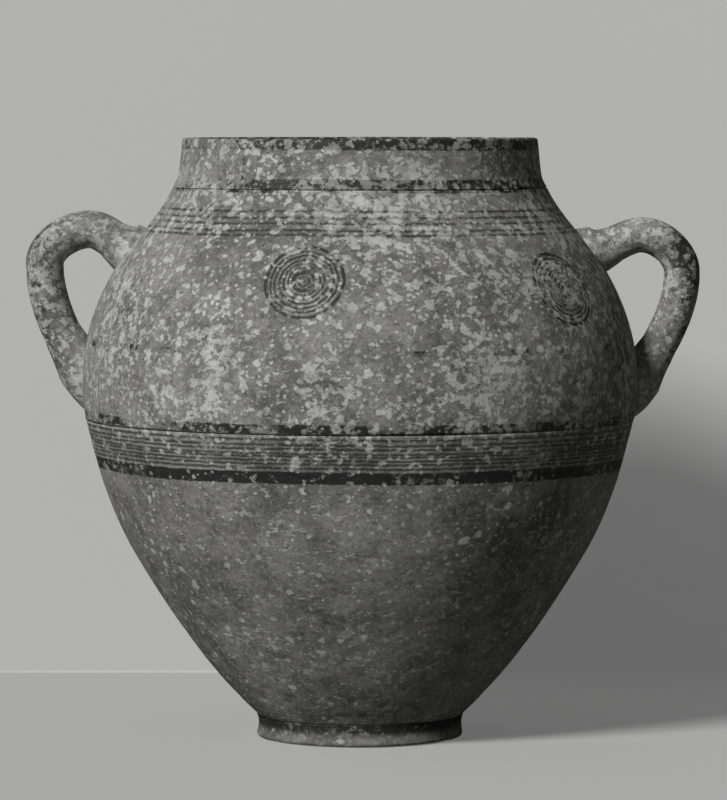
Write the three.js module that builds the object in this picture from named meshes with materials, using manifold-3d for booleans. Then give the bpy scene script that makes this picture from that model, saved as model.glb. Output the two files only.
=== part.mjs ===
// Two-handled pottery jar, wheel-thrown in sections and luted together with slip.
//
// Units are millimetres and +Z is up. The origin is on the wheel axis, on the plane that the foot
// rests on. The front of the jar faces -Y, and the two loop handles stand out along -X and +X.
//
// The jar is made as a potter makes it. A foot ring carries the lower bowl, the bowl carries the
// shoulder section at the belly seam, and the collar stands on the shoulder. A piece of the collar
// broke out and was set back in. Each handle is a rolled coil of clay, trimmed to the wall at both
// ends, with a wad of clay worked round each root. A thin film of slip lies between the pieces.

import * as THREE from "three";
import { mergeVertices } from "three/addons/utils/BufferGeometryUtils.js";
import Module from "manifold-3d";

// Fits
const slip_film = 0.3; // left open between luted pieces, where the slip was
const mend_gap = 0.3; // the glue line round the piece set back into the collar

// Outline of the outer wall, from the foot up. Each rise starts where the one below it ends.
const foot_height = 13;
const foot_joint_radius = 57.5;
const bowl_rise = 88;
const bowl_radius = 124;
const seam_rise = 74.5;
const seam_radius = 151;
const shoulder_rise = 90.5;
const shoulder_radius = 129.5;
const neck_rise = 36.5;
const neck_radius = 103;
const collar_base_rise = 7;
const collar_base_radius = 100;
const collar_rise = 18;
const collar_top_radius = 98;

// Slope of the outer wall at those places, in degrees up from the outward radius
const foot_joint_slope = 43;
const bowl_slope = 59.5;
const seam_slope = 77;
const shoulder_slope = 126.5;
const neck_slope = 115;
const collar_base_slope = 99;
const collar_top_slope = 97;

// Walls
const floor_thickness = 10;
const floor_corner = 16; // radius of the curve between the floor and the wall inside
const foot_wall = 10;
const seam_wall = 7.5;
const collar_wall = 8;
const lip_outer_rounding = 2.5;
const lip_inner_rounding = 1.5;
const seam_bevel = 4; // how far the belly seam rises from outside to inside
const neck_bevel = 2;

// Foot ring
const foot_recess = 8; // depth of the hollow under the floor
const foot_ring_width = 12;
const foot_seat_width = 5; // the part of the floor's flat underside that the ring carries
const foot_waist = 0.9; // how far the ring's outer face draws in
const foot_toe = 2.2; // rounding at the resting edge
const foot_bore_flare = 2;

// The broken piece of the collar, by its angle round the jar from the front towards +X
const sherd_right_angle = -39;
const sherd_span = 72;
const sherd_lean = 9.5; // how far the right-hand break leans over near the lip
const sherd_lean_height = 13;
const chip_radius = 13;
const chip_depth = 4;
const chip_turn = 2; // degrees from the right-hand break to the middle of the chip

// Handles. Rises are above the belly seam, and the stand-off is from the wall at its own height.
// Leans are degrees up from the outward direction.
const coil_width_share = 1.12; // breadth of the coil across the loop, over its thickness
const wad_lip = 0.9; // thickness of a wad where it ends on the coil
const wad_flare = 3.2; // what a wad adds to that at the wall
const wad_length = 11;
const root_run = 16; // how far each end of a handle's line is carried on inside the wall
const lower_root_tuck = -160;
const left_loop = {
  side: -1,
  coil_thickness: 22,
  upper_root_rise: 92.7,
  upper_root_burial: 1.5,
  upper_root_lean: 21.8,
  crown_inset: 24.6,
  crown_rise: 19.1,
  outer_rise: 84.8,
  outer_stand_off: 39.9,
  lower_root_rise: 19.6,
  lower_root_burial: 7,
  lower_root_lean: -129.6,
};
const right_loop = {
  side: 1,
  coil_thickness: 20.8,
  upper_root_rise: 91.3,
  upper_root_burial: 0.8,
  upper_root_lean: 9.3,
  crown_inset: 22,
  crown_rise: 20.5,
  outer_rise: 80.3,
  outer_stand_off: 40.8,
  lower_root_rise: 18.5,
  lower_root_burial: 3,
  lower_root_lean: -125.8,
};

// Facets
const turn_segments = 64;
const sliver = 0.05;
const coil_sides = 16;
const coil_steps = 16; // between the two wads
const wad_steps = 5;
const root_steps = 4; // from a coil's end to where it comes out of the wall
const clay_colours = { body: 0x8a8b86, handle: 0x93948f, sherd: 0x9c9d98, foot: 0x777873 };

const wasm = await Module();
wasm.setup();

// Heights that the rises add up to
const bowl_height = foot_height + bowl_rise;
const seam_height = bowl_height + seam_rise;
const shoulder_height = seam_height + shoulder_rise;
const neck_height = shoulder_height + neck_rise;
const collar_base_height = neck_height + collar_base_rise;
const collar_top_height = collar_base_height + collar_rise;
const lip_height = collar_top_height + lip_outer_rounding;
const floor_height = foot_recess + floor_thickness;

const radians = THREE.MathUtils.degToRad;

// A smooth curve through stations, each a point and the direction in which the curve leaves it.
class StationCurve extends THREE.Curve {
  constructor(stations) {
    super();
    this.stations = stations;
  }
  getPoint(t, target = new THREE.Vector2()) {
    const spans = this.stations.length - 1;
    const span = Math.min(Math.floor(t * spans), spans - 1);
    const [a, b] = [this.stations[span], this.stations[span + 1]];
    const u = t * spans - span;
    const chord = Math.hypot(b.r - a.r, b.z - a.z);
    const place = u * u * (3 - 2 * u);
    const leave = u * (1 - u) * (1 - u) * chord;
    const arrive = u * u * (u - 1) * chord;
    const [from, to] = [radians(a.slope), radians(b.slope)];
    return target.set(
      a.r + (b.r - a.r) * place + leave * Math.cos(from) + arrive * Math.cos(to),
      a.z + (b.z - a.z) * place + leave * Math.sin(from) + arrive * Math.sin(to),
    );
  }
}

const wall_stations = [
  { r: foot_joint_radius, z: foot_height, slope: foot_joint_slope, wall: foot_wall },
  { r: bowl_radius, z: bowl_height, slope: bowl_slope, wall: (foot_wall + seam_wall) / 2 },
  { r: seam_radius, z: seam_height, slope: seam_slope, wall: seam_wall },
  { r: shoulder_radius, z: shoulder_height, slope: shoulder_slope, wall: seam_wall },
  { r: neck_radius, z: neck_height, slope: neck_slope, wall: collar_wall },
  { r: collar_base_radius, z: collar_base_height, slope: collar_base_slope, wall: collar_wall },
  { r: collar_top_radius, z: collar_top_height, slope: collar_top_slope, wall: collar_wall },
];
const [foot_station, , seam_station, , neck_station, , lip_station] = wall_stations.keys();
const wall_curve = new StationCurve(wall_stations);
const wall_spans = wall_stations.length - 1;

// The point on the outer wall at a place counted in stations, moved out along the wall's normal.
function wallPoint(place, out = 0) {
  const t = place / wall_spans;
  const step = 1e-4;
  const point = wall_curve.getPoint(t);
  const before = wall_curve.getPoint(Math.max(t - step, 0));
  const along = wall_curve.getPoint(Math.min(t + step, 1)).sub(before).normalize();
  return new THREE.Vector2(point.x + along.y * out, point.y - along.x * out);
}

function wallThickness(place) {
  const below = Math.min(Math.floor(place), wall_spans - 1);
  const [a, b] = [wall_stations[below].wall, wall_stations[below + 1].wall];
  return a + (b - a) * (place - below);
}

const innerPoint = (place) => wallPoint(place, -wallThickness(place));

// The place, in stations, at which a point that climbs the wall reaches a height.
function placeAtHeight(pointAt, height) {
  let [low, high] = [0, wall_spans];
  for (let i = 0; i < 40; i++) {
    const middle = (low + high) / 2;
    if (pointAt(middle).y < height) low = middle;
    else high = middle;
  }
  return (low + high) / 2;
}

const wallRadius = (height) => wallPoint(placeAtHeight(wallPoint, height)).x;

// Points of one face of the wall between two places, both ends included.
function wallRun(pointAt, from, to, steps) {
  return Array.from({ length: steps + 1 }, (_, i) => pointAt(from + ((to - from) * i) / steps));
}

// A quarter round between two points, whose corner is at the third.
function quarterRound(from, corner, to, steps) {
  return new THREE.QuadraticBezierCurve(from, corner, to).getPoints(steps);
}

// A solid turned on the wheel axis from a profile that runs anticlockwise in radius and height.
function turned(profile) {
  return new THREE.LatheGeometry(profile, turn_segments).rotateX(Math.PI / 2);
}

function solid(geometry) {
  const bare = geometry.index ? geometry.toNonIndexed() : geometry.clone();
  const positions = new THREE.BufferGeometry().setAttribute("position", bare.getAttribute("position"));
  const merged = mergeVertices(positions, 1e-4);
  return new wasm.Manifold(
    new wasm.Mesh({
      numProp: 3,
      vertProperties: merged.attributes.position.array,
      triVerts: new Uint32Array(merged.index.array),
    }),
  );
}

// Slivers that a cut leaves, thinner than this, are taken up into their neighbours.
function geometryOf(made) {
  const mesh = made.simplify(sliver).getMesh();
  return new THREE.BufferGeometry()
    .setAttribute("position", new THREE.BufferAttribute(mesh.vertProperties, 3))
    .setIndex(new THREE.BufferAttribute(mesh.triVerts, 1));
}

const point = (r, z) => new THREE.Vector2(r, z);
const closed = (profile) => [...profile, profile[0].clone()];

// Foot ring

const floor_radius = foot_joint_radius - (foot_height - foot_recess) / Math.tan(radians(foot_joint_slope));
const foot_bore_radius = floor_radius - foot_seat_width;
const foot_outer_radius = foot_joint_radius - slip_film;

function footRing() {
  const toe = point(foot_outer_radius, foot_toe);
  const sole_edge = point(foot_outer_radius - foot_toe, 0);
  const brow = point(foot_outer_radius, foot_height - 2 * slip_film);
  const waist = point(foot_outer_radius - 2 * foot_waist, (toe.y + brow.y) / 2);
  const sole_inner = point(foot_outer_radius - foot_ring_width + foot_bore_flare, 0);
  const seat_height = foot_recess - slip_film;
  const bore_top = point(Math.min(foot_bore_radius, sole_inner.x - foot_bore_flare), seat_height);
  return closed([
    ...quarterRound(sole_edge, point(foot_outer_radius, 0), toe, 3),
    ...quarterRound(toe, waist, brow, 4).slice(1),
    point(floor_radius, seat_height),
    bore_top,
    sole_inner,
  ]);
}

// Lower bowl, from the floor to the belly seam

function lowerBowl() {
  const outer = wallRun(wallPoint, foot_station, seam_station, 11);
  const inner_top = placeAtHeight(innerPoint, seam_height + seam_bevel);
  const inner_foot = placeAtHeight(innerPoint, floor_height + floor_corner / 2);
  const inner = wallRun(innerPoint, inner_top, inner_foot, 9);
  const wall_end = inner.at(-1);
  const floor_end = point(wall_end.x - floor_corner, floor_height);
  const corner = point(wall_end.x - floor_corner / 3, floor_height);
  return [
    point(0, foot_recess),
    point(floor_radius, foot_recess),
    ...outer,
    ...inner,
    ...quarterRound(wall_end, corner, floor_end, 3).slice(1),
    point(0, floor_height),
  ];
}

// Shoulder section, from the belly seam to the neck

function shoulderSection() {
  const seat = placeAtHeight(wallPoint, seam_height + slip_film);
  const inner_seat = placeAtHeight(innerPoint, seam_height + seam_bevel + slip_film);
  const inner_top = placeAtHeight(innerPoint, neck_height + neck_bevel);
  return closed([
    ...wallRun(wallPoint, seat, neck_station, 11),
    ...wallRun(innerPoint, inner_top, inner_seat, 8),
  ]);
}

// Collar with its lip, and the piece that broke out of it

function collarRing() {
  const seat = placeAtHeight(wallPoint, neck_height + slip_film);
  const inner_seat = placeAtHeight(innerPoint, neck_height + neck_bevel + slip_film);
  const outer_top = wallPoint(lip_station);
  const inner_top = point(outer_top.x - collar_wall, lip_height - lip_inner_rounding);
  return closed([
    ...wallRun(wallPoint, seat, lip_station, 6),
    ...quarterRound(
      outer_top,
      point(outer_top.x, lip_height),
      point(outer_top.x - lip_outer_rounding, lip_height),
      3,
    ).slice(1),
    ...quarterRound(
      point(inner_top.x + lip_inner_rounding, lip_height),
      point(inner_top.x, lip_height),
      inner_top,
      2,
    ),
    ...wallRun(innerPoint, lip_station - 0.3, inner_seat, 4),
  ]);
}

// Directions at an angle round the jar, from the front towards +X
const outward = (angle) => new THREE.Vector3(Math.sin(radians(angle)), -Math.cos(radians(angle)), 0);
const sideways = (angle) => new THREE.Vector3(Math.cos(radians(angle)), Math.sin(radians(angle)), 0);

// Everything to one side of a break that runs through the collar along the given angle. The break
// leans over by the given amount near the lip, and the whole of it can be moved sideways.
function breakSide(angle, side, lean, shift) {
  const reach = 2 * seam_radius;
  const bottom = neck_height - collar_wall;
  const top = lip_height + collar_wall;
  const bend = lip_height - sherd_lean_height;
  const shape = new THREE.Shape();
  shape.moveTo(side * reach, bottom);
  shape.lineTo(shift, bottom);
  shape.lineTo(shift, bend);
  shape.quadraticCurveTo(shift, (bend + lip_height) / 2, shift - lean, lip_height);
  shape.lineTo(shift - lean, top);
  shape.lineTo(side * reach, top);
  const prism = new THREE.ExtrudeGeometry(shape, { depth: 2 * reach, bevelEnabled: false, curveSegments: 5 });
  prism.translate(0, 0, -reach);
  prism.applyMatrix4(
    new THREE.Matrix4().makeBasis(sideways(angle), new THREE.Vector3(0, 0, 1), outward(angle)),
  );
  return solid(prism);
}

function brokenOut(gap) {
  const left_angle = sherd_right_angle - sherd_span;
  const right = breakSide(sherd_right_angle, -1, sherd_lean, gap);
  return right.intersect(breakSide(left_angle, 1, -sherd_lean / 2, -gap));
}

function lipChip() {
  const angle = sherd_right_angle - chip_turn;
  const centre = outward(angle).multiplyScalar(collar_top_radius + chip_radius - chip_depth);
  centre.z = lip_height + lip_outer_rounding;
  return solid(new THREE.IcosahedronGeometry(chip_radius, 3).translate(...centre.toArray()));
}

// Handles

// The line down the middle of a loop handle, in its own plane, from the upper root to the lower.
function loopLine(loop) {
  const upper_height = seam_height + loop.upper_root_rise;
  const lower_height = seam_height + loop.lower_root_rise;
  const outer_height = seam_height + loop.outer_rise;
  const outer = { r: wallRadius(outer_height) + loop.outer_stand_off, z: outer_height, slope: -90 };
  const upper = {
    r: wallRadius(upper_height) - loop.upper_root_burial,
    z: upper_height,
    slope: loop.upper_root_lean,
  };
  const lower = {
    r: wallRadius(lower_height) - loop.lower_root_burial,
    z: lower_height,
    slope: loop.lower_root_lean,
  };
  return new StationCurve([
    movedAlong(upper, -root_run, upper.slope, upper.slope),
    upper,
    { r: outer.r - loop.crown_inset, z: outer.z + loop.crown_rise, slope: 0 },
    outer,
    lower,
    movedAlong(lower, root_run, (lower.slope + lower_root_tuck) / 2, lower_root_tuck),
  ]);
}

// A station moved along a direction, with the slope that the line has there.
function movedAlong({ r, z }, distance, direction, slope) {
  const angle = radians(direction);
  return { r: r + distance * Math.cos(angle), z: z + distance * Math.sin(angle), slope };
}

// Sweeps an oval along a line in the plane of the handle. The list gives the places on the line and
// the oval's half thickness there.
function sweptOval(line, rings, side) {
  const positions = [];
  const index = [];
  const step = 1e-3;
  rings.forEach(({ t, half }) => {
    const middle = line.getPoint(t);
    const before = line.getPoint(Math.max(t - step, 0));
    const along = line.getPoint(Math.min(t + step, 1)).sub(before).normalize();
    for (let i = 0; i < coil_sides; i++) {
      const turn = (2 * Math.PI * i) / coil_sides;
      const out = half * Math.cos(turn);
      const across = half * coil_width_share * Math.sin(turn);
      positions.push(side * (middle.x + along.y * out), across, middle.y - along.x * out);
    }
  });
  for (let ring = 0; ring < rings.length - 1; ring++) {
    for (let i = 0; i < coil_sides; i++) {
      const next = (i + 1) % coil_sides;
      const [a, b] = [ring * coil_sides + i, ring * coil_sides + next];
      index.push(a, b, b + coil_sides, a, b + coil_sides, a + coil_sides);
    }
  }
  const last = (rings.length - 1) * coil_sides;
  for (let i = 1; i < coil_sides - 1; i++) {
    index.push(0, i + 1, i);
    index.push(last, last + i, last + i + 1);
  }
  if (side < 0) index.reverse();
  return new THREE.BufferGeometry()
    .setAttribute("position", new THREE.Float32BufferAttribute(positions, 3))
    .setIndex(index);
}

// Where the line of a handle comes out of the wall, searched from one of its ends.
function placeAtWall(line, end) {
  let [inside, outside] = [end, 0.5];
  for (let i = 0; i < 40; i++) {
    const middle = (inside + outside) / 2;
    const at = line.getPoint(middle);
    if (at.x < wallRadius(at.y)) inside = middle;
    else outside = middle;
  }
  return inside;
}

const evenly = (from, to, steps) => Array.from({ length: steps }, (_, i) => from + ((to - from) * i) / steps);

// The places along one end of the line that a wad and its coil share, from the end inwards. The
// wad is widest up to the wall, and from there it is drawn out thin along the coil.
function wadRings(loop, line, end) {
  const at_wall = placeAtWall(line, end);
  const thin_end = at_wall + (wad_length / line.getLength()) * Math.sign(0.5 - end);
  const root = loop.coil_thickness / 2 + wad_lip;
  const share = (t) => Math.min(Math.max((thin_end - t) / (thin_end - at_wall), 0), 1);
  return [...evenly(end, at_wall, root_steps), ...evenly(at_wall, thin_end, wad_steps), thin_end].map(
    (t) => ({ t, half: root + wad_flare * share(t) ** 2 }),
  );
}

function coil(loop, line, extra) {
  const upper = wadRings(loop, line, 0).map(({ t }) => t);
  const lower = wadRings(loop, line, 1).map(({ t }) => t).reverse();
  const between = evenly(upper.at(-1), lower[0], coil_steps).slice(1);
  const half = loop.coil_thickness / 2 + extra;
  const rings = [...upper, ...between, ...lower].map((t) => ({ t, half }));
  return solid(sweptOval(line, rings, loop.side));
}

function wad(loop, line, end) {
  const rings = wadRings(loop, line, end);
  if (end > 0.5) rings.reverse();
  return solid(sweptOval(line, rings, loop.side));
}

// The space that the jar and its film of slip take up, which the roots are trimmed to.
function slippedJar() {
  const outer = wallRun((place) => wallPoint(place, slip_film), foot_station, lip_station, 40);
  return solid(turned([point(0, outer[0].y), ...outer, point(0, outer.at(-1).y)]));
}

// Assembly

const jar = new THREE.Group();
jar.name = "pottery_jar";

function add(name, geometry, colour) {
  const clay = new THREE.MeshStandardMaterial({ color: colour, roughness: 0.95, metalness: 0 });
  const mesh = new THREE.Mesh(geometry, clay);
  mesh.name = name;
  jar.add(mesh);
}

add("foot_ring", turned(footRing()), clay_colours.foot);
add("lower_bowl", turned(lowerBowl()), clay_colours.body);
add("shoulder_section", turned(shoulderSection()), clay_colours.body);

const collar = solid(turned(collarRing()));
add("collar", geometryOf(collar.subtract(brokenOut(mend_gap))), clay_colours.body);
add(
  "rejoined_rim_sherd",
  geometryOf(collar.intersect(brokenOut(0)).subtract(lipChip())),
  clay_colours.sherd,
);

const wall_and_slip = slippedJar();
for (const [name, loop] of Object.entries({ left: left_loop, right: right_loop })) {
  const line = loopLine(loop);
  const trimmed_coil = coil(loop, line, 0).subtract(wall_and_slip);
  const coil_and_slip = coil(loop, line, slip_film);
  add(`${name}_handle`, geometryOf(trimmed_coil), clay_colours.handle);
  add(
    `${name}_handle_upper_wad`,
    geometryOf(wad(loop, line, 0).subtract(wall_and_slip).subtract(coil_and_slip)),
    clay_colours.handle,
  );
  add(
    `${name}_handle_lower_wad`,
    geometryOf(wad(loop, line, 1).subtract(wall_and_slip).subtract(coil_and_slip)),
    clay_colours.handle,
  );
}

export default jar;
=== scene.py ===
import math

import bpy
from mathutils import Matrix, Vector, noise


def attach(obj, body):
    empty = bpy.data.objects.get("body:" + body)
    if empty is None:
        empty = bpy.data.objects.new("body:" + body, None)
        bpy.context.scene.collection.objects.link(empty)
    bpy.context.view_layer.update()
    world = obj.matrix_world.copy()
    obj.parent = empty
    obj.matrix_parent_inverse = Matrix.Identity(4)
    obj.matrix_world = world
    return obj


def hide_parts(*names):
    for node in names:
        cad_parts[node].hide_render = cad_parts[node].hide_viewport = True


bl_info = {
    "name": "Two-handled pottery jar",
    "version": (1, 0, 0),
    "blender": (4, 5, 0),
    "location": "3D View > Sidebar > Jar",
    "description": "Dresses the packed jar with worked clay, lime crust and worn dark paint",
    "category": "Object",
}

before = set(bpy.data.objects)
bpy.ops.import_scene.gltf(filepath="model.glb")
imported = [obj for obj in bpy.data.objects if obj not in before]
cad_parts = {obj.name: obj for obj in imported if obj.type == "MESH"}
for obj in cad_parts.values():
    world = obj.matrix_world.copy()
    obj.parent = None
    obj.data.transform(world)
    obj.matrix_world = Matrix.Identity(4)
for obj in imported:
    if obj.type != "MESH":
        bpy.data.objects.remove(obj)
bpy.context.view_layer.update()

MM = 0.001

# Outline of the outer wall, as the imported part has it: radius, height and slope in degrees
FOOT_JOINT = (57.5, 13.0, 43.0)
BOWL = (124.0, 101.0, 59.5)
SEAM = (151.0, 175.5, 77.0)
SHOULDER = (129.5, 266.0, 126.5)
NECK = (103.0, 302.5, 115.0)
COLLAR_BASE = (100.0, 309.5, 99.0)
COLLAR_TOP = (98.0, 327.5, 97.0)
WALL_STATIONS = (FOOT_JOINT, BOWL, SEAM, SHOULDER, NECK, COLLAR_BASE, COLLAR_TOP)
FOOT_PLACE, SEAM_PLACE, NECK_PLACE, TOP_PLACE = 0, 2, 4, 6
WALL_THICKNESS = (10.0, 8.75, 7.5, 7.5, 8.0, 8.0, 8.0)
LIP_HEIGHT = 330.0
FLOOR_HEIGHT = 18.0
FOOT_RECESS = 8.0
ROUND_STEPS = 320

# Joints: the film of slip under the floor, the gap along a seam, and how much higher a seam lies inside
SLIP = 0.3
JOINT_GAP = 0.1
SEAM_BEVEL = 4.0
NECK_BEVEL = 2.0

# Foot ring, in radius and height
FOOT_SOLE_OUTSIDE = (55.0, 0.0)
FOOT_TOE_CORNER = (57.2, 0.0)
FOOT_TOE = (57.2, 2.2)
FOOT_WAIST = (55.4, 7.3)
FOOT_BROW = (57.2, 12.4)
FOOT_BORE_RADIUS = 45.1
FOOT_BORE_CORNER = (45.6, 1.5)
FOOT_SOLE_INSIDE = (47.2, 0.0)

# The bend from the wall's inside to the floor: where it starts, its corner and its reach inwards
FLOOR_BEND_RISE = 8.0
FLOOR_BEND_CORNER = 5.3
FLOOR_BEND_REACH = 16.0

# Radius of the innermost ring of vertices, under the floor and on it
RING_UNDER_FLOOR = 18.0
RING_ON_FLOOR = 12.0

# Lip: how far its two edges are rounded, its thickness, and the place where the inner wall starts
LIP_OUTER_ROUND = 2.5
LIP_INNER_ROUND = 1.5
LIP_THICKNESS = 8.0
LIP_INNER_PLACE = 5.7

# Steps of a search and of the wall's table, and how close two points of an outline count as one
HALVINGS = 40
TABLE_STEPS = 50
SAME_POINT = 0.02

# The broken piece of the collar: degrees round the jar from the front towards +X
SHERD_RIGHT = -39.0
SHERD_SPAN = 72.0
SHERD_LEAN = 5.6
SHERD_STEPS = ROUND_STEPS // 5

# Its breaks: the height below the lip over which they lean, how ragged they are, and their gap in degrees
BREAK_LEAN_HEIGHT = 13.0
BREAK_RAGGEDNESS = 0.5
RAGGED_SCALE = 0.35
BREAK_GAP = 0.08

# The chip out of its corner: a ball cut away, in degrees from the break and mm off the collar's top
CHIP_TURN = 5.0
CHIP_STAND_OFF = 9.5
CHIP_DROP = 2.0
CHIP_RADIUS = 13.0
CHIP_WAVER = 1.2

# Handles: stations of the coil's middle line, then half its thickness
LEFT_LOOP = (
    ((126.7, 268.2, 21.8), (148.8, 279.4, 0.0), (173.4, 260.3, -90.0), (145.9, 195.1, -129.6)),
    11.0,
)
RIGHT_LOOP = (
    ((128.2, 266.8, 9.3), (155.0, 276.3, 0.0), (177.0, 255.8, -90.0), (150.0, 194.0, -125.8)),
    10.4,
)
COIL_WIDTH_SHARE = 1.12
COIL_SIDES = 56
COIL_STEPS = 130

# Roots: how far and how steeply the ends are carried on, and how deep in the wall they may lie
UPPER_ROOT_RUN = 16.0
LOWER_ROOT_RUN = 16.0
LOWER_ROOT_TUCK = -160.0
ROOT_DEPTH = 3.2

# The coil's surface: how far it stays inside its CAD piece, and how lumpy it is
COIL_INSET = 0.1
COIL_LUMPS = 0.012
LUMP_SPACING = 1.7
LUMP_SHIFT = 4.0

# Wads: their reach along the coil in spans, and how they swell from a feathered edge to the wall
UPPER_WAD_REACH = 0.45
LOWER_WAD_REACH = -0.32
WAD_STEPS = 30
WAD_FEATHER = 0.35
WAD_LIP = 0.75
WAD_LIP_STEEPNESS = 4
WAD_FLARE = 3.6
WAD_FLARE_POWER = 2.2

# Painted decoration, in heights on the wall
RIM_BAND = (323.6, 331.0)
NECK_BAND = (301.0, 308.0)
SHOULDER_LINES = (291.3, 288.0, 285.0, 281.4, 279.0)
TOP_BELLY_BAND = (176.5, 181.0)
LOW_BELLY_BAND = (149.6, 156.0)
BELLY_LINES = (173.2, 170.4, 168.2, 165.8, 164.3, 162.2, 160.3, 158.0)
FAINT_BAND = (217.0, 220.0)
LINE_WIDTH = 1.1
CIRCLE_CENTRES = ((-12.4, 255.8), (51.2, 250.7), (168.0, 254.0), (231.0, 253.0))
CIRCLE_RINGS = ((0.0, 1.4), (3.0, 0.5), (5.8, 1.1), (8.5, 0.45), (10.8, 0.45), (13.2, 0.45),
                (15.8, 0.45), (18.2, 0.45), (21.0, 0.8))

# Where paint shows on the handles, away from the axis, and on the foot, above the ground, in metres
HANDLE_PAINT = (0.158, 0.176)
FOOT_PAINT = (0.004, 0.009)

# How far the brush wavers, and how ragged and how soft the edge of its paint is, in metres
BRUSH_WAVER = 0.0028
BRUSH_RAGGEDNESS = 0.0016
CIRCLE_WAVER = 0.0026
BAND_EDGE = (-0.0002, 0.00035)

# Heights between which the painted outside is told from the inside, and the depth of the limit
OUTSIDE_HEIGHTS = (100.0, 325.0)
OUTSIDE_DEPTH = 4.5
OUTSIDE_STEPS = 9
OUTSIDE_REACH = 200

# Noise in the surface: cells per metre, detail and roughness
BROAD_NOISE = (14, 5, 0.6)
MOTTLE_NOISE = (70, 6, 0.65)
GRAIN_NOISE = (420, 4, 0.7)
FINE_NOISE = (330, 7, 0.82)
FLECK_NOISE = (1.0, 3, 0.6)
SCRATCH_NOISE = (1.0, 2, 0.5)
FINE_WEAR_NOISE = (230, 7, 0.8)
BROAD_WEAR_NOISE = (26, 4, 0.6)
PATCH_NOISE = (170, 6, 0.7)
SPREAD_NOISE = (17, 3, 0.5)
WAVER_NOISE = (9, 2, 0.5)
BRUSH_NOISE = (240, 3, 0.6)
CIRCLE_NOISE = (130, 3, 0.6)
LOST_PAINT_NOISE = (34, 4, 0.6)

# Marks: the noise at which each starts and is full, then how strongly it shows at both, if not 0 and 1
TONE_EDGE = (0.38, 0.60)
PALE_GRAIN = (0.58, 0.72, 0.0, 0.55)
DARK_GRAIN = (0.36, 0.28, 0.0, 0.7)
DARK_MOTTLE = (0.50, 0.36, 0.0, 0.62)
PALE_MOTTLE = (0.52, 0.66, 0.0, 0.62)
FLECK_EDGE = (0.62, 0.67)
SCRATCH_EDGE = (0.70, 0.76, 0.0, 0.3)
WEAR_EDGE = (-0.03, 0.03)
FAINT_PAINT_EDGE = (0.53, 0.60)
WORN_PAINT_EDGE = (0.44, 0.52)

# Flecks and scratches: cells per metre on each axis, and the heights between which flecks come in
FLECK_STRETCH = (150, 150, 380)
FLECK_HEIGHTS = (0.215, 0.15)
FLECK_STRENGTH = 0.6
SCRATCH_STRETCH = (16, 16, 900)

# Paint: where its wear starts, what it is made up of, and how well the paint covers
WEAR_LEVEL = 1.06
FINE_WEAR_SHARE, BROAD_WEAR_SHARE = 0.6, 0.4
PAINT_COVER = 0.96
LINE_STRENGTH = 0.8

# Crust: its patches, its cover over clay and what paint takes from that, and where it thins out
PATCH_EDGE = (0.655, 0.70)
PATCH_SHARE, SPREAD_SHARE, AMOUNT_SHARE = 0.74, 0.26, 0.3
CRUST_COVER = 0.88
PAINT_UNDER_CRUST = 0.35
CRUST_HEIGHTS = (0.138, 0.200)
LOW_CRUST_SHARE = 0.52

# Spots of crust: cells per metre, size in cells, and where the pattern starts
CRUST_SPOTS = ((120, 0.38, (0.37, 0.1, 0.5)), (190, 0.42, (0.6, 0.7, 0.2)), (310, 0.44, (0.9, 0.4, 0.1)))
SPOT_LEVEL = 0.80
SPOT_FULL = 1.3
SPOT_FADE = 0.86
SPOT_CRUST_SHARE = 0.85
SPOT_RAGGEDNESS = 1.35
SPOT_SOFTNESS = 0.08

# Tints and specks of the surface
DARK_SPECK = (0.03, 0.03, 0.03, 1)
DARK_SMUDGE = (0.035, 0.035, 0.034, 1)
CLAY_TINTS = ((0.5, 0.5, 0.5, 1), (1.15, 1.15, 1.15, 1))
CRUST_TINTS = ((0.62, 0.62, 0.62, 1), (1.18, 1.18, 1.18, 1))

# Roughness of the clay and the crust, how much paint takes from it, and what makes the fine relief
CLAY_ROUGHNESS, CRUST_ROUGHNESS, PAINT_SMOOTHING = 0.88, 0.95, 0.25
GRAIN_RELIEF, MOTTLE_RELIEF, CRUST_RELIEF, FLECK_RELIEF = 0.35, 0.4, 0.8, -0.25

# Marks of the hand in the mesh: cycles per metre round and up the jar, and their share of the relief
THROWING_ROUND = 9
THROWING_UP = 95
UNEVEN_SCALE = 22
UNEVEN_START = (3.1, 0, 0)
GRAIN_SCALE = 260
THROWING_SHARE, UNEVEN_SHARE, GRAIN_SHARE = 0.35, 0.8, 0.16

# Hollows: cycles per metre, where the pattern starts, the noise at which one starts, and its steepness
PITS = (150, (0, 7.7, 0), 0.33, 2.6)
SCARS = (48, (0, 0, 5.3), 0.42, 3.2)

# Camera, found from how the bands and the foot curve in the photograph
CAMERA_HEIGHT = 0.3443
CAMERA_DISTANCE = 2.616
CAMERA_ASIDE = 0.0019
CAMERA_PITCH = -3.476
CAMERA_LENS = 214.1
CAMERA_SENSOR = 36

# The key light, in degrees: round the jar, above the floor, and across the lamp
KEY_TURN = -37
KEY_RISE = 33
KEY_WIDTH = 14

# How much of the backdrop's colour bounces on to the jar, and how strongly it glows to the camera
BOUNCE_SHARE = 0.4
BACKDROP_GLOW = 0.13

# The backdrop sheet, in metres
SHEET_REACH = 6.0
SHEET_HEIGHT = 4.0
COVE_RADIUS = 0.0015
COVE_STEPS = 8


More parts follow.
